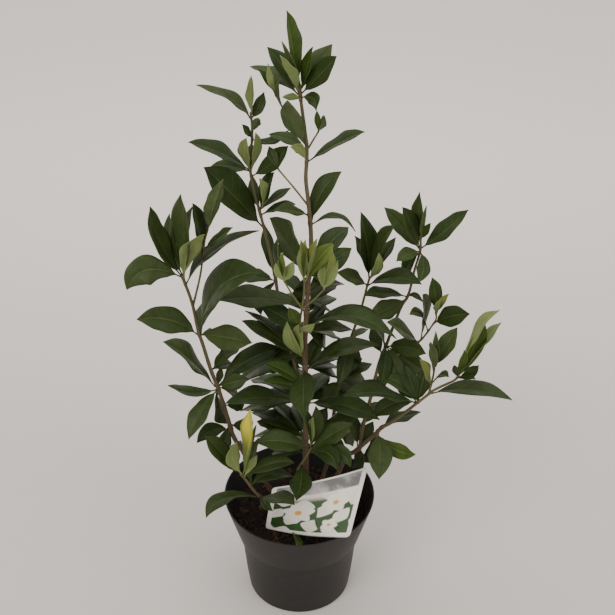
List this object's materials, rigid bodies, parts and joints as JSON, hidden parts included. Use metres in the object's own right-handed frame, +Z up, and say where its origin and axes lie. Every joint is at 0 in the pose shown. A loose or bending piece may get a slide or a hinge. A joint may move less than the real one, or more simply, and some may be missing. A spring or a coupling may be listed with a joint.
{
  "type": "potted gardenia",
  "caption": "Bushy evergreen shrub with glossy pointed leaves on woody shoots, in a tapered nursery pot of bark soil with a plain plant label.",
  "frame": {"origin": "centre of the pot's flat base, on the surface that it stands on", "axes": "+Z up along the pot's axis, -Y towards the side that the plant label faces, +X to that side's right"},
  "size_m": [0.4285, 0.199, 0.789],
  "materials": {
    "pot": "satin black injection moulded",
    "soil": "damp peat and bark",
    "label_card": "coated card",
    "label_stake": "moulded",
    "foliage": "waxy leaves on brown-green stems"
  },
  "bodies": {
    "root": {"pot": "pot", "soil": "soil", "label_card": "label_card", "label_stake": "label_stake", "leader": "foliage", "left_shoot": "foliage", "low_left_shoot": "foliage", "low_front_shoot": "foliage", "middle_right_shoot": "foliage", "right_shoot": "foliage"}
  },
  "joints": []
}
